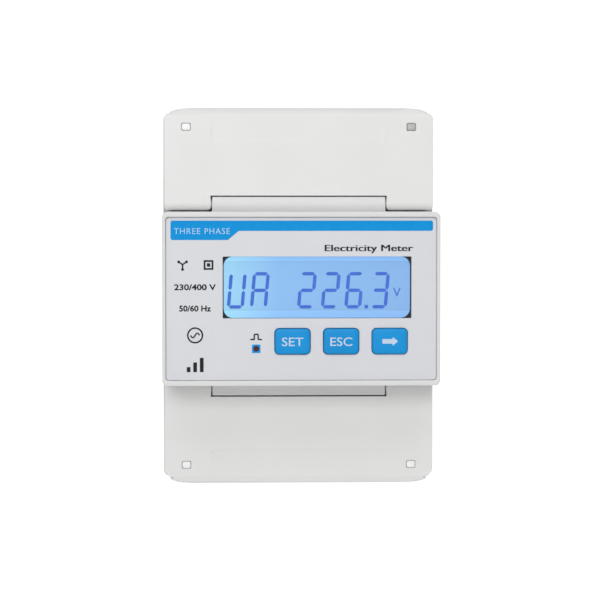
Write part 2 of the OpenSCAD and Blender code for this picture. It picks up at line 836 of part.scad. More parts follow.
// Closed tube swept along a helix, ring by ring
module rail_clip_spring() {
    sides = 8;
    per_turn = 16;
    rings = spring_turns * per_turn;
    length = spring_z[1] - spring_z[0] - spring_wire - 0.1;
    middle_y = clip_y + clip_t / 2;
    points = [for (i = [0:rings], j = [0:sides - 1])
        let (a = 360 * i / per_turn, b = 360 * j / sides, r = spring_r + spring_wire / 2 * cos(b))
        [r * cos(a), middle_y + r * sin(a),
         -spring_z[1] + spring_wire / 2 + 0.05 + length * i / rings + spring_wire / 2 * sin(b)]];
    sidewalls = [for (i = [0:rings - 1], j = [0:sides - 1]) let (k = (j + 1) % sides)
        [i * sides + j, (i + 1) * sides + j, (i + 1) * sides + k, i * sides + k]];
    ends = [[for (j = [0:sides - 1]) j], [for (j = [sides - 1:-1:0]) rings * sides + j]];
    color(steel) polyhedron(points = points, faces = concat(sidewalls, ends));
}

// ---------- what is drawn ----------

front_housing();
rear_housing();
faceplate();
display_window();
upper_terminal_cover();
lower_terminal_cover();
for (i = [0:2]) {
    key(i);
    switch_stem(i);
}
key_switches();
pulse_light_pipe();
pulse_led();
lcd_glass();
lcd_frame();
backlight_guide();
backlight_leds();
display_board();
power_board();
board_header();
board_chips();
power_transformer();
current_transformers();
smoothing_capacitors();
surge_varistors();
terminal_block(LINE);  // upper_terminal_block
mirror([0, 0, 1]) terminal_block(SIGNAL);  // lower_terminal_block
contact_bars(LINE);  // upper_contact_bars
mirror([0, 0, 1]) contact_bars(SIGNAL);  // lower_contact_bars
rail_clip();
rail_clip_spring();
housing_screws();
for (i = [1:LINE_COUNT]) {
    terminal_screw(LINE, i);
    wire_clamp(LINE, i);
}
for (i = [1:SIGNAL_COUNT]) {
    terminal_screw(SIGNAL, i);
    wire_clamp(SIGNAL, i);
}
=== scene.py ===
# %% [markdown]
# # A rail-mounted electricity meter
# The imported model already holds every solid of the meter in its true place. This notebook dresses it: it
# softens the moulded edges, prints the faceplate, lights the display and gives each plastic and metal its
# own finish. The model is loaded first, because the boxes of its solids place most of what follows.

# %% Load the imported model
import json
import math

import bmesh
import bpy
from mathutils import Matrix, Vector


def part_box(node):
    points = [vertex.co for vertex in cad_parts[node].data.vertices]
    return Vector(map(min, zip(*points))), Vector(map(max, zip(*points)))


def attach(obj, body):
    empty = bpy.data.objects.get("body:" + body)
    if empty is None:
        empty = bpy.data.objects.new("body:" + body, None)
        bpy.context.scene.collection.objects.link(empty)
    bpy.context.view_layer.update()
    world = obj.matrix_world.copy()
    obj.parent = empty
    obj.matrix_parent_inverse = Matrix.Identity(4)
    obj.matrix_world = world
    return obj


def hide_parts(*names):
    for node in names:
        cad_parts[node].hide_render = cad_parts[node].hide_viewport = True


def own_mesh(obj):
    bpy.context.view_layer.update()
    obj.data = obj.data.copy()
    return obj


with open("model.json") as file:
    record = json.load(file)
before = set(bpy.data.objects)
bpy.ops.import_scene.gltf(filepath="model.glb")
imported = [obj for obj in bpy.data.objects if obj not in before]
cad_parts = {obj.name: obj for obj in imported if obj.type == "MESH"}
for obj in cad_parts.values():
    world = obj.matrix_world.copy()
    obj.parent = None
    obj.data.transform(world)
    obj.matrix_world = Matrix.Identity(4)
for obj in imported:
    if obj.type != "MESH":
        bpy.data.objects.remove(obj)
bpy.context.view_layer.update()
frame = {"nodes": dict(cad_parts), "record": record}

MM = 0.001
print("solids in the frame:", len(frame["nodes"]))

# %% [markdown]
# ## Places read from the model
# A maker's drawing gives sizes in millimetres, so the boxes of a few solids are turned into millimetres
# once. The meter looks along -Y, so the front of a solid is the side with the lowest Y.

# %% Boxes of the pieces that carry print
def box_mm(node):
    low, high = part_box(node)
    return [v / MM for v in low], [v / MM for v in high]


plate_low, plate_high = box_mm("faceplate")
window_low, window_high = box_mm("display_window")
glass_front = box_mm("lcd_glass")[0][1]
FACE_Y = plate_low[1]
FRONT_Y = box_mm("front_housing")[0][1]
print("faceplate front at", round(FACE_Y, 2), "mm, frame front at", round(FRONT_Y, 2), "mm")

# %% [markdown]
# ## Small mesh tools
# Most printed marks and moulded caps are flat outlines given a thickness. They could be drawn as curves and
# extruded, but a rounded shoulder would then need a second tool. One helper stacks outlines along Y into a
# closed solid, which keeps the corner points in step and so gives clean side walls.

# %% Outlines and stacks
def rounded_outline(width, height, radius, centre=(0, 0), steps=6):
    """Corner points of a rounded rectangle in X and Z, counter-clockwise."""
    points = []
    for k, (sx, sz) in enumerate(((1, 1), (-1, 1), (-1, -1), (1, -1))):
        cx = centre[0] + sx * (width / 2 - radius)
        cz = centre[1] + sz * (height / 2 - radius)
        for i in range(steps + 1):
            a = math.radians(90 * k + 90 * i / steps)
            points.append((cx + radius * math.cos(a), cz + radius * math.sin(a)))
    return points


def circle_outline(radius, centre=(0, 0), steps=32):
    turn = [2 * math.pi * i / steps for i in range(steps)]
    return [(centre[0] + radius * math.cos(a), centre[1] + radius * math.sin(a)) for a in turn]


def add_stack(bm, layers):
    """Closed solid through outlines with equal numbers of points, given with their y, front first."""
    rings = [[bm.verts.new((x * MM, y * MM, z * MM)) for x, z in outline] for outline, y in layers]
    for front, back in zip(rings, rings[1:]):
        for i in range(len(front)):
            j = (i + 1) % len(front)
            bm.faces.new((front[i], front[j], back[j], back[i]))
    bm.faces.new(rings[0])
    bm.faces.new(list(reversed(rings[-1])))


def add_ring(bm, outer, inner, front_y, back_y):
    """Closed frame between two outlines with the same number of points."""
    rings = [[bm.verts.new((x * MM, y * MM, z * MM)) for x, z in outline]
             for outline, y in ((outer, front_y), (inner, front_y), (inner, back_y), (outer, back_y))]
    for a, b in zip(rings, rings[1:] + rings[:1]):
        for i in range(len(a)):
            j = (i + 1) % len(a)
            bm.faces.new((a[i], a[j], b[j], b[i]))


def smooth_by_angle(mesh, degrees=35):
    mesh.shade_smooth()
    mesh.set_sharp_from_angle(angle=math.radians(degrees))


def piece(name, bm, material, body="case", node=None, smooth=35):
    """Turns a bmesh into a piece that rides on a body and may stand for a solid of the model."""
    bmesh.ops.recalc_face_normals(bm, faces=bm.faces)
    mesh = bpy.data.meshes.new(name)
    bm.to_mesh(mesh)
    bm.free()
    smooth_by_angle(mesh, smooth)
    obj = bpy.data.objects.new(name, mesh)
    bpy.context.scene.collection.objects.link(obj)
    mesh.materials.append(material)
    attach(obj, body)
    if node:
        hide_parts(node)
    return obj


# %% [markdown]
# ## Camera
# The camera stands a little over half a metre from the meter with a long lens, so that the sides stay
# nearly parallel. A short lens close by would make the nose look too large for the covers behind it. The
# camera is slightly left of and above the middle, which shows a sliver of the left wall and of the nose's
# roof.

# %% Camera
scene = bpy.context.scene
EYE = Vector((-25, FRONT_Y - 645, 26)) * MM
AIM = Vector((-0.4, FRONT_Y, -0.25)) * MM
camera_data = bpy.data.cameras.new("camera")
camera_data.lens = 150
camera_data.sensor_width = 36
camera_data.clip_end = 20
camera = bpy.data.objects.new("camera", camera_data)
camera.location = EYE
camera.rotation_euler = (AIM - EYE).to_track_quat("-Z", "Y").to_euler()
scene.collection.objects.link(camera)
scene.camera = camera
scene.view_settings.view_transform = "Standard"
print("camera distance", round((AIM - EYE).length, 3), "m")

# %% [markdown]
# ## Light
# White plastic shows its shape only through soft shading. In a light tent the roof is brighter than the
# walls, so the surround grows brighter upwards. A panel behind and above the lens throws the short dark
# shadow under the nose, and a wider one in the roof lets that shadow fade out slowly down the lower cover.
# A weak one below lifts the slopes that face down. The panels are hidden from the camera, so they can stand
# close to the meter.

# %% Surround and panels
def tent_surround(wall, roof):
    """A white world whose strength grows from the walls to the roof."""
    world = bpy.data.worlds.new("surround")
    world.use_nodes = True
    tree = world.node_tree
    background = tree.nodes["Background"]
    background.inputs["Color"].default_value = (1, 1, 1, 1)
    place = tree.nodes.new("ShaderNodeTexCoord")
    split = tree.nodes.new("ShaderNodeSeparateXYZ")
    tree.links.new(place.outputs["Generated"], split.inputs["Vector"])
    rise = tree.nodes.new("ShaderNodeMapRange")
    rise.inputs["To Min"].default_value, rise.inputs["To Max"].default_value = wall, roof
    tree.links.new(split.outputs["Z"], rise.inputs["Value"])
    tree.links.new(rise.outputs["Result"], background.inputs["Strength"])
    return world


WALL_STRENGTH, ROOF_STRENGTH = 0.33, 0.72
scene.world = tent_surround(WALL_STRENGTH, ROOF_STRENGTH)


def panel(name, place, size, power):
    """A rectangular lamp that faces the meter: place and size in metres, power in watts."""
    data = bpy.data.lights.new(name, "AREA")
    data.shape = "RECTANGLE"
    data.size, data.size_y = size
    data.energy = power
    light = bpy.data.objects.new(name, data)
    light.location = place
    light.rotation_euler = (-Vector(place)).to_track_quat("-Z", "Y").to_euler()
    light.visible_camera = False
    scene.collection.objects.link(light)


panel("key_panel", (-0.14, -0.95, 0.24), (0.4, 0.22), 2.5)
panel("roof_panel", (0.0, -0.6, 0.7), (0.8, 0.5), 1.7)
panel("low_panel", (0.0, -0.12, -0.40), (0.8, 0.3), 0.35)
print("surround from", WALL_STRENGTH, "to", ROOF_STRENGTH, "and three panels")

# %% [markdown]
# ## White dish
# A backdrop for a white object has to be lighter than the object and must show no horizon. A plane would
# end in a line, so a wide disc of matt white card is used, whose rim turns up through a quarter circle. It
# lies well below the meter and leaves the view from below free. It glows behind the meter and towards its
# rim, because card that only reflects turns grey.

# %% White dish
DISH_Z, FLAT_R, BEND_R = -0.45, 2.0, 1.2
INNER_R, MIDDLE_R = 0.25, 0.8
CARD_DARK, CARD_LIGHT = (0.62, 0.62, 0.62, 1), (0.65, 0.65, 0.65, 1)


def slope(tree, from_range, to_range):
    """A node that maps one range of values onto another."""
    node = tree.nodes.new("ShaderNodeMapRange")
    node.inputs["From Min"].default_value, node.inputs["From Max"].default_value = from_range
    node.inputs["To Min"].default_value, node.inputs["To Max"].default_value = to_range
    return node


def dish_material():
    mat = bpy.data.materials.new("white_dish")
    mat.use_nodes = True
    tree = mat.node_tree
    shader = tree.nodes["Principled BSDF"]
    shader.inputs["Roughness"].default_value = 0.9
    shader.inputs["Emission Color"].default_value = (1, 1, 1, 1)
    place = tree.nodes.new("ShaderNodeTexCoord")
    noise = tree.nodes.new("ShaderNodeTexNoise")
    noise.inputs["Scale"].default_value = 6
    tree.links.new(place.outputs["Object"], noise.inputs["Vector"])
    ramp = tree.nodes.new("ShaderNodeValToRGB")
    ramp.color_ramp.elements[0].color = CARD_DARK
    ramp.color_ramp.elements[1].color = CARD_LIGHT
    tree.links.new(noise.outputs["Fac"], ramp.inputs["Fac"])
    tree.links.new(ramp.outputs["Color"], shader.inputs["Base Color"])
    split = tree.nodes.new("ShaderNodeSeparateXYZ")
    tree.links.new(place.outputs["Object"], split.inputs["Vector"])
    back = slope(tree, (-0.12, 0.02), (0.0, 0.45))
    tree.links.new(split.outputs["Y"], back.inputs["Value"])
    away = tree.nodes.new("ShaderNodeVectorMath")
    away.operation = "LENGTH"
    tree.links.new(place.outputs["Object"], away.inputs["Vector"])
    rim = slope(tree, (0.6, 2.0), (0.0, 0.2))
    tree.links.new(away.outputs["Value"], rim.inputs["Value"])
    both = tree.nodes.new("ShaderNodeMath")
    tree.links.new(back.outputs["Result"], both.inputs[0])
    tree.links.new(rim.outputs["Result"], both.inputs[1])
    tree.links.new(both.outputs["Value"], shader.inputs["Emission Strength"])
    return mat


def dish(sides=64, bends=12):
    """A flat disc whose rim turns up through a quarter circle."""
    bend = [math.radians(90 * k / bends) for k in range(bends + 1)]
    profile = [(INNER_R, DISH_Z), (MIDDLE_R, DISH_Z)]
    profile += [(FLAT_R + BEND_R * math.sin(a), DISH_Z + BEND_R * (1 - math.cos(a))) for a in bend]
    turn = [2 * math.pi * k / sides for k in range(sides)]
    bm = bmesh.new()
    rings = [[bm.verts.new((r * math.cos(a), r * math.sin(a), z)) for a in turn] for r, z in profile]
    bm.faces.new(rings[0])
    for inner, outer in zip(rings, rings[1:]):
        for i in range(sides):
            j = (i + 1) % sides
            bm.faces.new((inner[i], outer[i], outer[j], inner[j]))
    mesh = bpy.data.meshes.new("dish")
    bm.to_mesh(mesh)
    bm.free()
    mesh.shade_smooth()
    mesh.materials.append(dish_material())
    obj = bpy.data.objects.new("dish", mesh)
    scene.collection.objects.link(obj)
    return obj


white_dish = dish()
print("dish faces:", len(white_dish.data.polygons))

# %% [markdown]
# ## Moulded plastic
# Injection-moulded cases carry the spark-eroded grain of their steel mould: grains of about a tenth of a
# millimetre and a few microns deep. Large areas also drift a little in tone, where the melt cooled
# unevenly. Both come from noise in the piece's own coordinates, so the grain travels with a part that
# moves.

# %% A recipe for every finish
NOISE_LOW, NOISE_HIGH = 0.3, 0.7


def base_material(name, colour, roughness, **inputs):
    """A new material with its shader's constants set on the shader's own sockets."""
    mat = bpy.data.materials.new(name)
    mat.use_nodes = True
    shader = mat.node_tree.nodes["Principled BSDF"]
    shader.inputs["Base Color"].default_value = (*colour, 1)
    shader.inputs["Roughness"].default_value = roughness
    for key, value in inputs.items():
        shader.inputs[key.replace("_", " ")].default_value = value
    return mat, shader


def noise_at(tree, size_mm, detail=2.0):
    """Noise in the piece's own coordinates with features of about this size."""
    place = tree.nodes.new("ShaderNodeTexCoord")
    noise = tree.nodes.new("ShaderNodeTexNoise")
    noise.inputs["Scale"].default_value = 1 / (size_mm * MM)
    noise.inputs["Detail"].default_value = detail
    tree.links.new(place.outputs["Object"], noise.inputs["Vector"])
    return noise


def vary(tree, noise, low, high, socket):
    """Spreads the usual range of a noise between two values or two colours, and feeds a socket with it."""
    if isinstance(low, tuple):
        ramp = tree.nodes.new("ShaderNodeValToRGB")
        first, last = ramp.color_ramp.elements
        first.position, last.position = NOISE_LOW, NOISE_HIGH
        first.color, last.color = (*low, 1), (*high, 1)
        tree.links.new(noise.outputs["Fac"], ramp.inputs["Fac"])
        tree.links.new(ramp.outputs["Color"], socket)
    else:
        spread = slope(tree, (NOISE_LOW, NOISE_HIGH), (low, high))
        tree.links.new(noise.outputs["Fac"], spread.inputs["Value"])
        tree.links.new(spread.outputs["Result"], socket)


def grain(tree, shader, size_mm, depth_mm, strength=1.0):
    bump = tree.nodes.new("ShaderNodeBump")
    bump.inputs["Distance"].default_value = depth_mm * MM
    bump.inputs["Strength"].default_value = strength
    tree.links.new(noise_at(tree, size_mm).outputs["Fac"], bump.inputs["Height"])
    tree.links.new(bump.outputs["Normal"], shader.inputs["Normal"])


def tint(colour, by):
    return tuple(min(1.0, c * by) for c in colour)


def moulded(name, colour, roughness=0.45, grain_mm=0.16, depth_mm=0.004, drift=0.012, **inputs):
    mat, shader = base_material(name, colour, roughness, **inputs)
    tree = mat.node_tree
    dark, light = tint(colour, 1 - drift), tint(colour, 1 + drift)
    vary(tree, noise_at(tree, 14), dark, light, shader.inputs["Base Color"])
    vary(tree, noise_at(tree, 1.2), roughness - 0.04, roughness + 0.04, shader.inputs["Roughness"])
    grain(tree, shader, grain_mm, depth_mm)
    return mat


def metal(name, colour, roughness, streak_mm=0.3, drift=0.06):
    """Plated or stamped metal: fine scratches in the finish and a slight change of tone."""
    mat, shader = base_material(name, colour, roughness, Metallic=1.0)
    tree = mat.node_tree
    dark, light = tint(colour, 1 - drift), tint(colour, 1 + drift)
    vary(tree, noise_at(tree, 2.5), dark, light, shader.inputs["Base Color"])
    vary(tree, noise_at(tree, streak_mm), roughness - 0.06, roughness + 0.08, shader.inputs["Roughness"])
    grain(tree, shader, streak_mm / 2, 0.003)
    return mat


def ink(name, colour):
    """Screen-printed ink: a thin film that is slightly uneven in density."""
    mat, shader = base_material(name, colour, 0.5, Specular_IOR_Level=0.1)
    tree = mat.node_tree
    vary(tree, noise_at(tree, 0.5), tint(colour, 0.95), tint(colour, 1.05), shader.inputs["Base Color"])
    return mat


def glow(name, dim, bright, strength, size_mm=3):
    """A lit film, a little uneven from place to place."""
    mat, shader = base_material(name, (0.01, 0.01, 0.01), 0.6, Emission_Strength=strength,
                                Specular_IOR_Level=0.1)
    tree = mat.node_tree
    vary(tree, noise_at(tree, size_mm), dim, bright, shader.inputs["Emission Color"])
    return mat


FINISH = {
    "case": moulded("case_white", (0.72, 0.718, 0.718)),
    "cover": moulded("cover_white", (0.79, 0.786, 0.780)),
    "faceplate": moulded("faceplate_grey", (0.68, 0.69, 0.72), roughness=0.4, grain_mm=0.1,
                         depth_mm=0.002),
    "key": moulded("key_blue", (0.005, 0.285, 0.68), roughness=0.38, grain_mm=0.2, depth_mm=0.003,
                   drift=0.05, Specular_IOR_Level=0.2),
    "terminal_block": moulded("block_white", (0.66, 0.66, 0.65), roughness=0.5),
    "switch": moulded("switch_black", (0.02, 0.02, 0.022), roughness=0.5, drift=0.2),
    "white_trim": moulded("trim_white", (0.82, 0.82, 0.82)),
    "winding": moulded("core_tape", (0.55, 0.50, 0.36), roughness=0.55, grain_mm=0.5, drift=0.1),
    "capacitor": moulded("capacitor_sleeve", (0.02, 0.03, 0.07), roughness=0.35, drift=0.2),
    "varistor": moulded("varistor_blue", (0.03, 0.13, 0.40), roughness=0.35, drift=0.1),
    "board": moulded("solder_mask", (0.01, 0.11, 0.05), roughness=0.35, grain_mm=0.5, drift=0.15),
    "lamp": moulded("lamp_red", (0.45, 0.02, 0.03), roughness=0.3, drift=0.1),
    "backlight": moulded("lamp_yellow", (0.75, 0.70, 0.35), roughness=0.3),
    "contact_brass": metal("plated_brass", (0.72, 0.58, 0.34), 0.3),
    "screw_steel": metal("zinc_steel", (0.62, 0.63, 0.65), 0.28),
}
print("finishes:", len(FINISH))

# %% [markdown]
# ## Clear parts
# The window is clear polycarbonate with a hard coat. A glass shader would bend and darken the lit film
# behind it. Seen nearly square-on the window hides almost nothing, so a low opacity with a sharp reflection
# stands for it. The lamp's light pipe is dark red, and almost black while the lamp is off.

# %% Window, light pipe and display glass
def clear(name, colour, opacity, roughness):
    mat, shader = base_material(name, colour, roughness, Alpha=opacity)
    tree = mat.node_tree
    vary(tree, noise_at(tree, 6), roughness * 0.7, roughness * 1.3, shader.inputs["Roughness"])
    return mat


FINISH["window"] = clear("window_clear", (0.85, 0.92, 0.97), 0.03, 0.06)
FINISH["light_pipe"] = moulded("pipe_dark_red", (0.10, 0.008, 0.012), roughness=0.15, grain_mm=0.4,
                               depth_mm=0.001, drift=0.3)
FINISH["display"] = moulded("display_backing", (0.25, 0.35, 0.45), roughness=0.2, drift=0.05)
print("finishes with the clear parts:", len(FINISH))

# %% [markdown]
# ## Finishes on the solids
# Each solid of the model names its material slot in the record, and the table of finishes is keyed by slot.
# So one loop dresses all of them, and a mesh that replaces a solid further down can look its finish up as
# well.

# %% Dress every solid
slot_of = {row["node"]: row["material_slot"] for row in frame["record"]["subparts"]}
body_of = {node: body for body, nodes in frame["record"]["behaviour"]["bodies"].items() for node in nodes}
for name, obj in frame["nodes"].items():
    obj.data.materials.clear()
    obj.data.materials.append(FINISH[slot_of[name]])
print("dressed", len(frame["nodes"]), "solids")

# %% [markdown]
# ## Softened mouldings
# No moulded edge is sharp: the mould needs a radius, and the radius catches the light. A copy of each
# moulding is cleaned of the triangles that its flat faces were cut into, and its outer corners are bevelled
# by a quarter of a millimetre. The thin faceplate gets half of that, and so do corners beside narrow faces,
# which would otherwise fold over. Inner corners stay crisp. The result is kept within the box of the solid.

# %% Soften a solid
def room_beside(edge):
    """How far the narrower of the two faces beside an edge reaches away from it."""
    start = edge.verts[0].co
    along = (edge.verts[1].co - start).normalized()
    reach = [max(((v.co - start) - (v.co - start).dot(along) * along).length for v in face.verts)
             for face in edge.link_faces]
    return min(reach)


def weigh_corners(bm, width, bluntest=math.radians(40)):
    """Marks the outward corners for the bevel, less strongly beside narrow faces."""
    weight = bm.edges.layers.float.new("bevel_weight_edge")
    for edge in bm.edges:
        if len(edge.link_faces) == 2 and edge.is_convex and edge.calc_face_angle() > bluntest:
            edge[weight] = min(1.0, 0.45 * room_beside(edge) / width)


def cleaned(source, width):
    """A copy of a solid's mesh with whole flat faces, and its corners weighed for the bevel."""
    bm = bmesh.new()
    bm.from_mesh(source)
    bmesh.ops.remove_doubles(bm, verts=bm.verts, dist=2e-6)
    bmesh.ops.dissolve_limit(bm, angle_limit=math.radians(0.6), verts=bm.verts, edges=bm.edges)
    weigh_corners(bm, width)
    many_sided = [face for face in bm.faces if len(face.verts) > 4]
    bmesh.ops.triangulate(bm, faces=many_sided, quad_method="BEAUTY", ngon_method="BEAUTY")
    return bm


def softened(node, width_mm, segments=3):
    """Replaces a solid with a copy that has rounded outer corners."""
    source = frame["nodes"][node].data
    bm = cleaned(source, width_mm * MM)
    mesh = bpy.data.meshes.new(node + "_soft")
    bm.to_mesh(mesh)
    bm.free()
    smooth_by_angle(mesh, 50)
    obj = bpy.data.objects.new(node + "_soft", mesh)
    scene.collection.objects.link(obj)
    bevel = obj.modifiers.new("corners", "BEVEL")
    bevel.width = width_mm * MM
    bevel.segments = segments
    bevel.limit_method = "WEIGHT"
    bevel.use_clamp_overlap = False
    bevel.loop_slide = False
    bevel.miter_outer = "MITER_SHARP"
    normals = obj.modifiers.new("normals", "WEIGHTED_NORMAL")
    normals.keep_sharp = True
    graph = bpy.context.evaluated_depsgraph_get()
    final = bpy.data.meshes.new_from_object(obj.evaluated_get(graph))
    obj.modifiers.clear()
    obj.data = final
    low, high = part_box(node)
    for v in final.vertices:
        v.co = [min(max(c, a), b) for c, a, b in zip(v.co, low, high)]
    final.materials.clear()
    final.materials.append(FINISH[slot_of[node]])
    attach(obj, body_of[node])
    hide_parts(node)
    return obj


MOULDINGS = {"front_housing": 0.25, "rear_housing": 0.25, "upper_terminal_cover": 0.25,
             "lower_terminal_cover": 0.25, "faceplate": 0.12, "upper_terminal_block": 0.25,
             "lower_terminal_block": 0.25, "rail_clip": 0.25}
for node, corner_mm in MOULDINGS.items():
    made = softened(node, corner_mm)
    print(made.name, "faces:", len(made.data.polygons))

# %% [markdown]
# ## Sealing posts
# A sealing wire is threaded round a post that stands in each slot of the covers. Three posts end in a cap
# lighter than the cover, painted light that stands for the bright backdrop seen through the slot, and the
# fourth has a grey one, painted shade of a deep slot. A cap is a thin rounded lid on the post's end, so a
# stack of three rounded rectangles makes it.

# %% Caps on the posts
SEAL_IN, SEAL_DOWN, CAP_W, CAP_H = 6.1, 5.1, 2.2, 1.8
CAP_CORNER, CAP_BEVEL, CAP_DEEP = 0.4, 0.15, 0.6
case_high = box_mm("front_housing")[1]
CAP_FRONT = box_mm("upper_terminal_cover")[0][1] + 0.03
# Painted light and shade: the white caps are lighter than the cover to stand for the backdrop seen through a
# slot, and the grey cap stands for the shade in a deep slot.
cap_painted_light_white = moulded("cap_painted_light_white", (0.95, 0.95, 0.95), roughness=0.6)
cap_painted_shade_grey = moulded("cap_painted_shade_grey", (0.50, 0.50, 0.49), roughness=0.6)


def post_cap(name, x, z, material):
    lid = rounded_outline(CAP_W - 2 * CAP_BEVEL, CAP_H - 2 * CAP_BEVEL, CAP_CORNER - 0.1, (x, z))
    wall = rounded_outline(CAP_W, CAP_H, CAP_CORNER, (x, z))
    bm = bmesh.new()
    add_stack(bm, [(lid, CAP_FRONT), (wall, CAP_FRONT + CAP_BEVEL), (wall, CAP_FRONT + CAP_DEEP)])
    return piece(name, bm, material, smooth=60)


for side, across in ((-1, "left"), (1, "right")):
    for end, along in ((-1, "bottom"), (1, "top")):
        # The top right cap carries the painted shade, and the other three carry the painted light.
        nylon = cap_painted_shade_grey if side > 0 and end > 0 else cap_painted_light_white
        cap = post_cap(f"seal_cap_{across}_{along}", side * (case_high[0] - SEAL_IN),
                       end * (case_high[2] - SEAL_DOWN), nylon)
        print(cap.name, "in", nylon.name)

# %% [markdown]
# ## Keys
# The keys are blue caps with a soft shoulder and a nearly flat top. A bevelled box would give the shoulder
# too, but a stack of rounded rectangles lets the corner radius shrink as the shoulder draws in along its
# quarter circle. Behind the cap are the flange that stops it falling out and the plunger that meets the
# switch.

# %% Three key caps
KEYS = {"set_key": "set_button", "escape_key": "escape_button", "next_key": "next_button"}
FLANGE, FLANGE_FRONT, FLANGE_DEEP = 0.9, FACE_Y + 3.0, 0.8
SHOULDER, KEY_CORNER, PLUNGER_R = 0.55, 1.1, 1.5


def middle_of(node):
    """Middle of a solid in X and Z, in millimetres."""
    low, high = box_mm(node)
    return (low[0] + high[0]) / 2, (low[2] + high[2]) / 2


def key_cap(node, body):
    """A key: cap with a soft shoulder, flange and plunger."""
    low, high = box_mm(node)
    middle = middle_of(node)
    wide, tall = high[0] - low[0], high[2] - low[2]
    width, height = wide - 2 * FLANGE, tall - 2 * FLANGE + 0.4
    front = low[1]
    layers = [(rounded_outline(width - 2.6, height - 2.6, 0.5, middle), front),
              (rounded_outline(width - 1.6, height - 1.6, 0.7, middle), front + 0.01)]
    for k in range(6):
        a = math.radians(90 * k / 5)
        inset = SHOULDER * (1 - math.sin(a))
        ring = rounded_outline(width - 2 * inset, height - 2 * inset, KEY_CORNER - 0.6 * inset, middle)
        layers.append((ring, front + 0.04 + SHOULDER * (1 - math.cos(a))))
    layers.append((rounded_outline(width, height, KEY_CORNER, middle), FLANGE_FRONT + 0.1))
    flange = rounded_outline(wide, tall, 0.6, middle)
    plunger = circle_outline(PLUNGER_R, middle)
    bm = bmesh.new()
    add_stack(bm, layers)
    add_stack(bm, [(flange, FLANGE_FRONT), (flange, FLANGE_FRONT + FLANGE_DEEP)])
    add_stack(bm, [(plunger, FLANGE_FRONT + FLANGE_DEEP - 0.1), (plunger, high[1])])
    return piece(node + "_cap", bm, FINISH["key"], body, node, smooth=50)


for node, body in KEYS.items():
    cap = key_cap(node, body)
    print(cap.name, "faces:", len(cap.data.polygons))

# %% [markdown]
# ## Clip spring
# The rail clip is pushed home by a compression spring of round wire. The model's own coil is coarse, so the
# wire is swept again round a helix with more steps.

# %% Coiled wire
SPRING_TURNS, WIRE_R, CLIP_TRAVEL = 7, 0.2, 3.5


def coiled_wire(node, per_turn=32, sides=12):
    """Round wire swept along a helix that fills the box of the spring."""
    low, high = box_mm(node)
    middle_x, middle_y = (low[0] + high[0]) / 2, (low[1] + high[1]) / 2
    coil_r = (high[0] - low[0]) / 2 - WIRE_R
    first, last = low[2] + WIRE_R, high[2] - WIRE_R
    steps = SPRING_TURNS * per_turn
    bm = bmesh.new()
    rings = []
    for i in range(steps + 1):
        turn, rise = 2 * math.pi * i / per_turn, first + (last - first) * i / steps
        ring = []
        for j in range(sides):
            around = 2 * math.pi * j / sides
            r, z = coil_r + WIRE_R * math.cos(around), rise + WIRE_R * math.sin(around)
            x, y = middle_x + r * math.cos(turn), middle_y + r * math.sin(turn)
            ring.append(bm.verts.new(Vector((x, y, z)) * MM))
        rings.append(ring)
    for a, b in zip(rings, rings[1:]):
        for j in range(sides):
            k = (j + 1) % sides
            bm.faces.new((a[j], b[j], b[k], a[k]))
    bm.faces.new(rings[0])
    bm.faces.new(list(reversed(rings[-1])))
    wire = piece("clip_spring_wire", bm, FINISH["screw_steel"], body_of[node], node, smooth=60)
    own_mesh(wire)
    return wire


print("spring faces:", len(coiled_wire("rail_clip_spring").data.polygons))

# %% [markdown]
# ## Print on the faceplate
# Stripe, symbols and words are screen-printed, so they are films a few hundredths of a millimetre thick. A
# picture mapped onto the plate would blur close up, and real outlines don't. Words come from the built-in
# font and are plain generic terms. The ratings are thickened by an offset. The name is struck twice
# instead, because an offset breaks its capital M.

# %% Inks and printing helpers
BLUE_INK = ink("ink_blue", (0.004, 0.29, 0.70))
BLACK_INK = ink("ink_black", (0.02, 0.02, 0.022))
WHITE_INK = ink("ink_white", (0.56, 0.67, 0.80))
FILM = 0.03
PRINT_STEP = 0.004
CAP_SHARE = 0.729
print("film", FILM, "mm thick on each side of its face, capitals", CAP_SHARE, "of the font size")


def printed(name, outlines, material, y=FACE_Y, body="case"):
    """A film in the shape of one or more outlines, lying on the face at y."""
    bm = bmesh.new()
    for outline in outlines:
        add_stack(bm, [(outline, y - FILM), (outline, y + FILM)])
    return piece(name, bm, material, body)


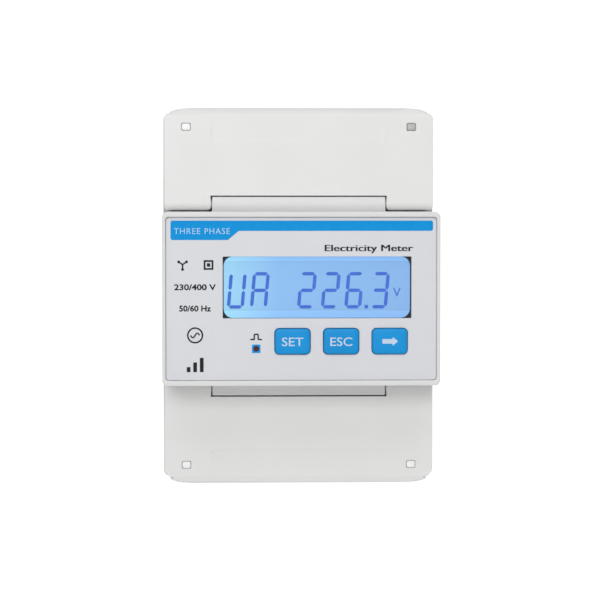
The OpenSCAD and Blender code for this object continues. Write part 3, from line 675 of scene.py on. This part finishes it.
def words(name, text, cap_height, width, left=None, middle=None, base=0.0, bold=0.0, spacing=1.0,
          material=BLACK_INK, y=FACE_Y, body="case", strike=0.0):
    """Lettering as a thin film, this wide, placed by its left edge or its middle.
    A strike prints it a second time, this far to each side, which thickens the upright strokes."""
    curve = bpy.data.curves.new(name + "_line", "FONT")
    curve.body = text
    curve.size = 1.0
    curve.space_character = spacing
    curve.offset = 0.0
    curve.extrude = 0.5
    curve.resolution_u = 4
    line = bpy.data.objects.new(name + "_line", curve)
    scene.collection.objects.link(line)
    scale = cap_height / CAP_SHARE
    curve.offset = bold / scale
    bpy.context.view_layer.update()
    mesh = bpy.data.meshes.new_from_object(line.evaluated_get(bpy.context.evaluated_depsgraph_get()))
    bpy.data.objects.remove(line)
    bpy.data.curves.remove(curve)
    xs = [v.co.x for v in mesh.vertices]
    across = width / (max(xs) - min(xs)) if width else scale
    if left is None:
        left = middle - (max(xs) - min(xs)) * across / 2
    shift = left - min(xs) * across
    for v in mesh.vertices:
        v.co = Vector((shift + v.co.x * across, y - v.co.z * 2 * FILM, base + v.co.y * scale)) * MM
    bm = bmesh.new()
    bm.from_mesh(mesh)
    bpy.data.meshes.remove(mesh)
    bmesh.ops.remove_doubles(bm, verts=bm.verts, dist=1e-7)
    if strike:
        again = bmesh.ops.duplicate(bm, geom=bm.verts[:] + bm.edges[:] + bm.faces[:])["geom"]
        second = [item for item in again if isinstance(item, bmesh.types.BMVert)]
        bmesh.ops.translate(bm, verts=bm.verts, vec=Vector((-strike, 0, 0)) * MM)
        bmesh.ops.translate(bm, verts=second, vec=Vector((2 * strike, -PRINT_STEP, 0)) * MM)
    return piece(name, bm, material, body)


# %% [markdown]
# ## Stripe and words
# A blue stripe runs along the top of the plate and is thicker at its left end, where it carries two words.
# Its outline is one closed line with round corners. The words stay clear of the marks beside them.

# %% Blue stripe with its thicker left end
def corner(x, z, radius, start, end, steps=3):
    """Points on an arc about a centre, between two angles in degrees."""
    turn = [math.radians(start + (end - start) * k / steps) for k in range(steps + 1)]
    return [(x + radius * math.cos(a), z + radius * math.sin(a)) for a in turn]


def stripe():
    left, right, top = plate_low[0] + 1.2, plate_high[0] - 0.9, plate_high[2] - 0.8
    thin, thick = top - 2.65, top - 5.0
    r = 0.5
    outline = corner(right - r, thin + r, r, 270, 360) + corner(right - r, top - r, r, 0, 90)
    outline += corner(left + r, top - r, r, 90, 180) + corner(left + r, thick + r, r, 180, 270)
    outline += [(-19.0, thick), (-16.2, thin)]
    return printed("stripe", [outline], BLUE_INK)


stripe()
PALE_INK = ink("ink_pale_blue", (0.42, 0.66, 0.88))
TEXT_LEFT = -32.9
LABELS = [
    words("stripe_words", "THREE PHASE", 1.6, 14.4, left=TEXT_LEFT, base=16.8, spacing=1.15,
          material=PALE_INK, y=FACE_Y - FILM),
    words("name_words", "Electricity Meter", 1.75, 22.8, left=6.1, base=12.35, strike=0.09),
    words("volt_words", "230/400 V", 1.5, 10.8, left=TEXT_LEFT, base=2.35, bold=0.06),
    words("hertz_words", "50/60 Hz", 1.5, 8.2, left=-31.6, base=-3.15, bold=0.06),
]
print("printed:", ", ".join(label.name for label in LABELS))

# %% [markdown]
# ## Symbols
# A star of three lines stands for three phases and a square in a square for insulation. Below them sit a
# wave in a ring, for alternating current, and three rising bars, for consumption. A single pulse is printed
# over the lamp. Most are a few straight strokes, and a stroke is a thin rectangle between two points, so a
# symbol is a short list of strokes. The dots on the star's arms are lifted by a few microns, so that their
# faces don't coincide with the arms.

# %% Strokes
def stroke(a, b, thick):
    """Rectangle of this thickness from point a to point b."""
    dx, dz = b[0] - a[0], b[1] - a[1]
    length = math.hypot(dx, dz)
    nx, nz = -dz / length * thick / 2, dx / length * thick / 2
    return [(a[0] + nx, a[1] + nz), (b[0] + nx, b[1] + nz), (b[0] - nx, b[1] - nz), (a[0] - nx, a[1] - nz)]


def strokes(points, thick):
    return [stroke(a, b, thick) for a, b in zip(points, points[1:])]


def ring_mark(name, outer, inner, material=BLACK_INK):
    bm = bmesh.new()
    add_ring(bm, outer, inner, FACE_Y - FILM, FACE_Y + FILM)
    return piece(name, bm, material, "case")


def square(side, centre):
    return rounded_outline(side, side, 0.05, centre, 1)


# %% Phases, insulation, current, load and pulse
LINE_W = 0.36
STAR, SQUARES, RING, LAMP = (-30.7, 8.9), (-24.0, 8.8), (-27.5, -9.4), (-11.7, -12.9)
ARM = 1.25
tips = [(STAR[0] + ARM * math.cos(a), STAR[1] + ARM * math.sin(a)) for a in map(math.radians, (35, 145, 270))]
printed("three_phase_mark", [stroke(STAR, tip, 0.38) for tip in tips], BLACK_INK)
printed("three_phase_ends", [circle_outline(0.36, tip, 16) for tip in tips], BLACK_INK, FACE_Y - PRINT_STEP)
ring_mark("insulation_mark", square(2.5, SQUARES), square(1.6, SQUARES))
printed("insulation_core", [square(0.9, SQUARES)], BLACK_INK)
ring_mark("current_ring", circle_outline(2.1, RING), circle_outline(1.7, RING))
swing = [i / 6 - 1 for i in range(13)]
wave = [(RING[0] + 1.15 * t, RING[1] + 0.62 * math.sin(math.pi * t)) for t in swing]
printed("current_wave", strokes(wave, LINE_W), BLACK_INK)
BARS_LEFT, BARS_LOW, BAR_STEP, BAR_RISE = -29.2, -18.9, 1.7, 1.2
bars = [((BARS_LEFT + BAR_STEP * i, BARS_LOW), (BARS_LEFT + BAR_STEP * i, BARS_LOW + 1.3 + BAR_RISE * i))
        for i in range(3)]
printed("load_bars", [stroke(foot, head, 0.95) for foot, head in bars], BLACK_INK)
PULSE_LOW, PULSE_HIGH = -10.5, -9.15
pulse = [(LAMP[0] - 1.5, PULSE_LOW), (LAMP[0] - 0.5, PULSE_LOW), (LAMP[0] - 0.5, PULSE_HIGH),
         (LAMP[0] + 0.5, PULSE_HIGH), (LAMP[0] + 0.5, PULSE_LOW), (LAMP[0] + 1.5, PULSE_LOW)]
printed("pulse_mark", strokes(pulse, LINE_W), BLACK_INK)
ring_mark("lamp_frame", rounded_outline(2.2, 2.2, 0.25, LAMP, 8), circle_outline(0.76, LAMP, 36), BLUE_INK)
print("symbols: star, squares, wave, bars, pulse and lamp frame")

# %% [markdown]
# ## Display
# A backlit display is a lit film behind dark segments. The light enters at the left, so the film is
# brightest there. The drive area in the middle is bounded by two faint lines, with lighter bands above and
# below. One colour ramp runs along the film and one up it, and their product is what the film gives off. A
# black mask with rounded corners hides the edge of the glass.

# %% Lit film
WINDOW = {"left": window_low[0] + 1.2, "right": window_high[0] - 1.2,
          "low": window_low[2] + 1.2, "high": window_high[2] - 1.2}
FILM_Y = glass_front
BANDS = [(0.0, 0.98), (0.118, 1.0), (0.122, 0.76), (0.132, 0.76), (0.136, 0.88), (0.5, 0.90),
         (0.912, 0.88), (0.916, 0.76), (0.926, 0.76), (0.930, 1.0), (1.0, 0.99)]


def lit_material():
    """Light that is brightest at the left, times the bands above and below the drive area."""
    mat, shader = base_material("backlit_film", (0.01, 0.01, 0.01), 0.5, Emission_Strength=1.0)
    tree = mat.node_tree
    place = tree.nodes.new("ShaderNodeTexCoord")
    split = tree.nodes.new("ShaderNodeSeparateXYZ")
    tree.links.new(place.outputs["Object"], split.inputs["Vector"])
    along = slope(tree, (WINDOW["left"] * MM, WINDOW["right"] * MM), (0, 1))
    tree.links.new(split.outputs["X"], along.inputs["Value"])
    ramp = tree.nodes.new("ShaderNodeValToRGB")
    ramp.color_ramp.elements[0].color = (0.318, 0.71, 1.0, 1)
    ramp.color_ramp.elements[1].color = (0.212, 0.466, 0.89, 1)
    middle = ramp.color_ramp.elements.new(0.30)
    middle.color = (0.228, 0.516, 0.943, 1)
    tree.links.new(along.outputs["Result"], ramp.inputs["Fac"])
    up = slope(tree, (WINDOW["low"] * MM, WINDOW["high"] * MM), (0, 1))
    tree.links.new(split.outputs["Z"], up.inputs["Value"])
    bands = tree.nodes.new("ShaderNodeValToRGB")
    line = bands.color_ramp.elements
    while len(line) < len(BANDS):
        line.new(0.5)
    for element, (position, level) in zip(line, BANDS):
        element.position = position
        element.color = (level, level, level, 1)
    tree.links.new(up.outputs["Result"], bands.inputs["Fac"])
    mix = tree.nodes.new("ShaderNodeMix")
    mix.data_type = "RGBA"
    mix.blend_type = "MULTIPLY"
    mix.inputs["Factor"].default_value = 1.0
    tree.links.new(ramp.outputs["Color"], mix.inputs["A"])
    tree.links.new(bands.outputs["Color"], mix.inputs["B"])
    tree.links.new(mix.outputs["Result"], shader.inputs["Emission Color"])
    return mat


def film_outline(width, height, radius):
    centre = ((WINDOW["left"] + WINDOW["right"]) / 2, (WINDOW["low"] + WINDOW["high"]) / 2)
    return rounded_outline(width, height, radius, centre, 8)


MASK_FRONT, FIGURE_FRONT = FILM_Y - 0.12, FILM_Y - 0.05
lit = film_outline(49.6, 16.8, 0.2)
bm = bmesh.new()
add_stack(bm, [(lit, FILM_Y - FILM), (lit, FILM_Y + 0.01)])
film = piece("backlit_film", bm, lit_material())
bm = bmesh.new()
add_ring(bm, film_outline(50.2, 17.2, 0.2), film_outline(48.4, 15.9, 2.4), MASK_FRONT, FILM_Y - FILM)
mask = piece("display_mask", bm, ink("mask_black", (0.012, 0.012, 0.016)))
print(film.name, "and", mask.name, "at", round(FILM_Y, 2), "mm")

# %% [markdown]
# ## Segments
# Each figure is built from the usual seven bars, leaning five degrees. A font would be quicker, but a bar
# with pointed ends leaves the thin gaps between neighbours that a real display has. The reading is a
# voltage.

# %% Seven-bar figures
LEAN = math.tan(math.radians(5))
BARS = {"U": "bcdef", "A": "abcefg", "2": "abdeg", "6": "acdefg", "3": "abcdg"}
FIGURE_W, FIGURE_H, BAR_T, GAP = 4.45, 9.5, 0.9, 0.09


def bar_outline(a, b, thick):
    """Six-sided bar with pointed ends from a to b."""
    dx, dz = b[0] - a[0], b[1] - a[1]
    length = math.hypot(dx, dz)
    ux, uz = dx / length, dz / length
    t = thick / 2
    near, far = GAP + t, length - GAP - t
    spots = [(GAP, 0), (near, -t), (far, -t), (length - GAP, 0), (far, t), (near, t)]
    return [(a[0] + ux * s - uz * o, a[1] + uz * s + ux * o) for s, o in spots]


def figure(letter, left, low):
    """Outlines of the bars of one figure, leaning to the right."""
    t = BAR_T / 2
    x0, x1 = left + t, left + FIGURE_W - t
    z0, z1, z2 = low + t, low + FIGURE_H / 2, low + FIGURE_H - t
    ends = {"a": ((x0, z2), (x1, z2)), "b": ((x1, z1), (x1, z2)), "c": ((x1, z0), (x1, z1)),
            "d": ((x0, z0), (x1, z0)), "e": ((x0, z0), (x0, z1)), "f": ((x0, z1), (x0, z2)),
            "g": ((x0, z1), (x1, z1))}
    outlines = [bar_outline(*ends[bar], BAR_T) for bar in BARS[letter]]
    return [[(x + (z - low) * LEAN, z) for x, z in outline] for outline in outlines]


SEGMENT = glow("segment_blue", (0.012, 0.10, 0.58), (0.022, 0.13, 0.66), 1.0)
LOW = -2.6
READING = [("U", -16.7), ("A", -10.7), ("2", 1.5), ("2", 7.7), ("6", 13.8), ("3", 20.5)]
for place, (letter, centre) in enumerate(READING, start=1):
    left = centre - (FIGURE_W + FIGURE_H * LEAN) / 2
    printed(f"figure_{place}", figure(letter, left, LOW), SEGMENT, FIGURE_FRONT)
point = rounded_outline(0.95, 0.95, 0.15, (16.95, LOW + 0.48), 2)
printed("decimal_point", [point], SEGMENT, FIGURE_FRONT)
words("volt_sign", "V", 2.4, None, middle=24.9, base=0.5, bold=0.02, material=SEGMENT, y=FIGURE_FRONT)
print("figures:", len(READING), "with a point and a unit")

# %% [markdown]
# ## Key legends
# The legends are printed in pale ink on the caps. Each one rides on the body of its key, so it travels with
# the cap when the key is pressed.

# %% Legends
LEGEND_CAP = 2.3
for node, text, width in (("set_key", "SET", 5.6), ("escape_key", "ESC", 5.7)):
    x, z = middle_of(node)
    legend = words(text.lower() + "_legend", text, LEGEND_CAP, width, middle=x, base=z - LEGEND_CAP / 2,
                   bold=0.02, material=WHITE_INK, y=FRONT_Y, body=KEYS[node])
    print(legend.name, "on", KEYS[node])
x, z = middle_of("next_key")
tail, neck, tip = x - 1.95, x + 0.7, x + 2.15
SHAFT, HEAD = 0.6, 1.15
arrow = [(tail, z - SHAFT), (neck, z - SHAFT), (neck, z - HEAD), (tip, z), (neck, z + HEAD),
         (neck, z + SHAFT), (tail, z + SHAFT)]
arrow_legend = printed("next_legend", [arrow], WHITE_INK, FRONT_Y, KEYS["next_key"])
print(arrow_legend.name, "on", KEYS["next_key"])
